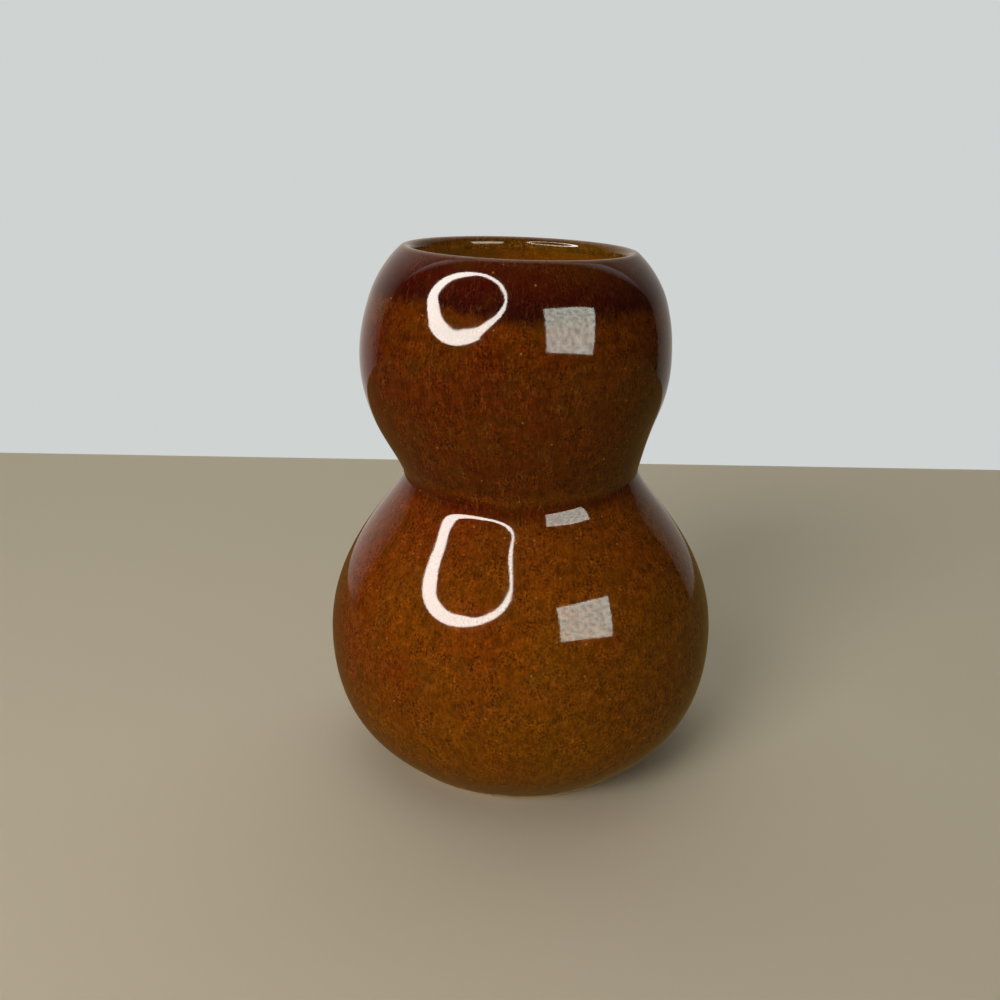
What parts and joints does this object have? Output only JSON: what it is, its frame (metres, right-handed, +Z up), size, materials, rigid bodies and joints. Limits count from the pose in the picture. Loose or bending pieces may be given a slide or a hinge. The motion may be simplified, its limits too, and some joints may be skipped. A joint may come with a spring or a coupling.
{
  "type": "bud vase",
  "caption": "Small double-gourd bud vase: a round belly, a sharply creased waist, a smaller round upper bulb and a rounded open mouth, glossy amber-brown glaze.",
  "frame": {"origin": "centre of the foot ring, on the plane that the vase stands on", "axes": "+Z up along the lower bulb's throwing axis; +X to the right as the vase is seen in the picture, +Y away from the viewer"},
  "size_m": [0.08, 0.08, 0.107],
  "materials": {
    "stoneware": "bare fired buff stoneware, matt, slightly gritty",
    "slip": "fired joining slip, matt",
    "honey_glaze": "glossy olive-honey liner glaze",
    "amber_glaze": "glossy amber-brown glaze, finely speckled",
    "dark_glaze": "glossy dark red-brown glaze, thinner and redder towards the lip"
  },
  "bodies": {
    "root": {"lower_bulb": "stoneware", "upper_bulb": "stoneware", "waist_slip_joint": "slip", "liner_glaze": "honey_glaze", "amber_glaze": "amber_glaze", "dark_dip_glaze": "dark_glaze"}
  },
  "joints": []
}
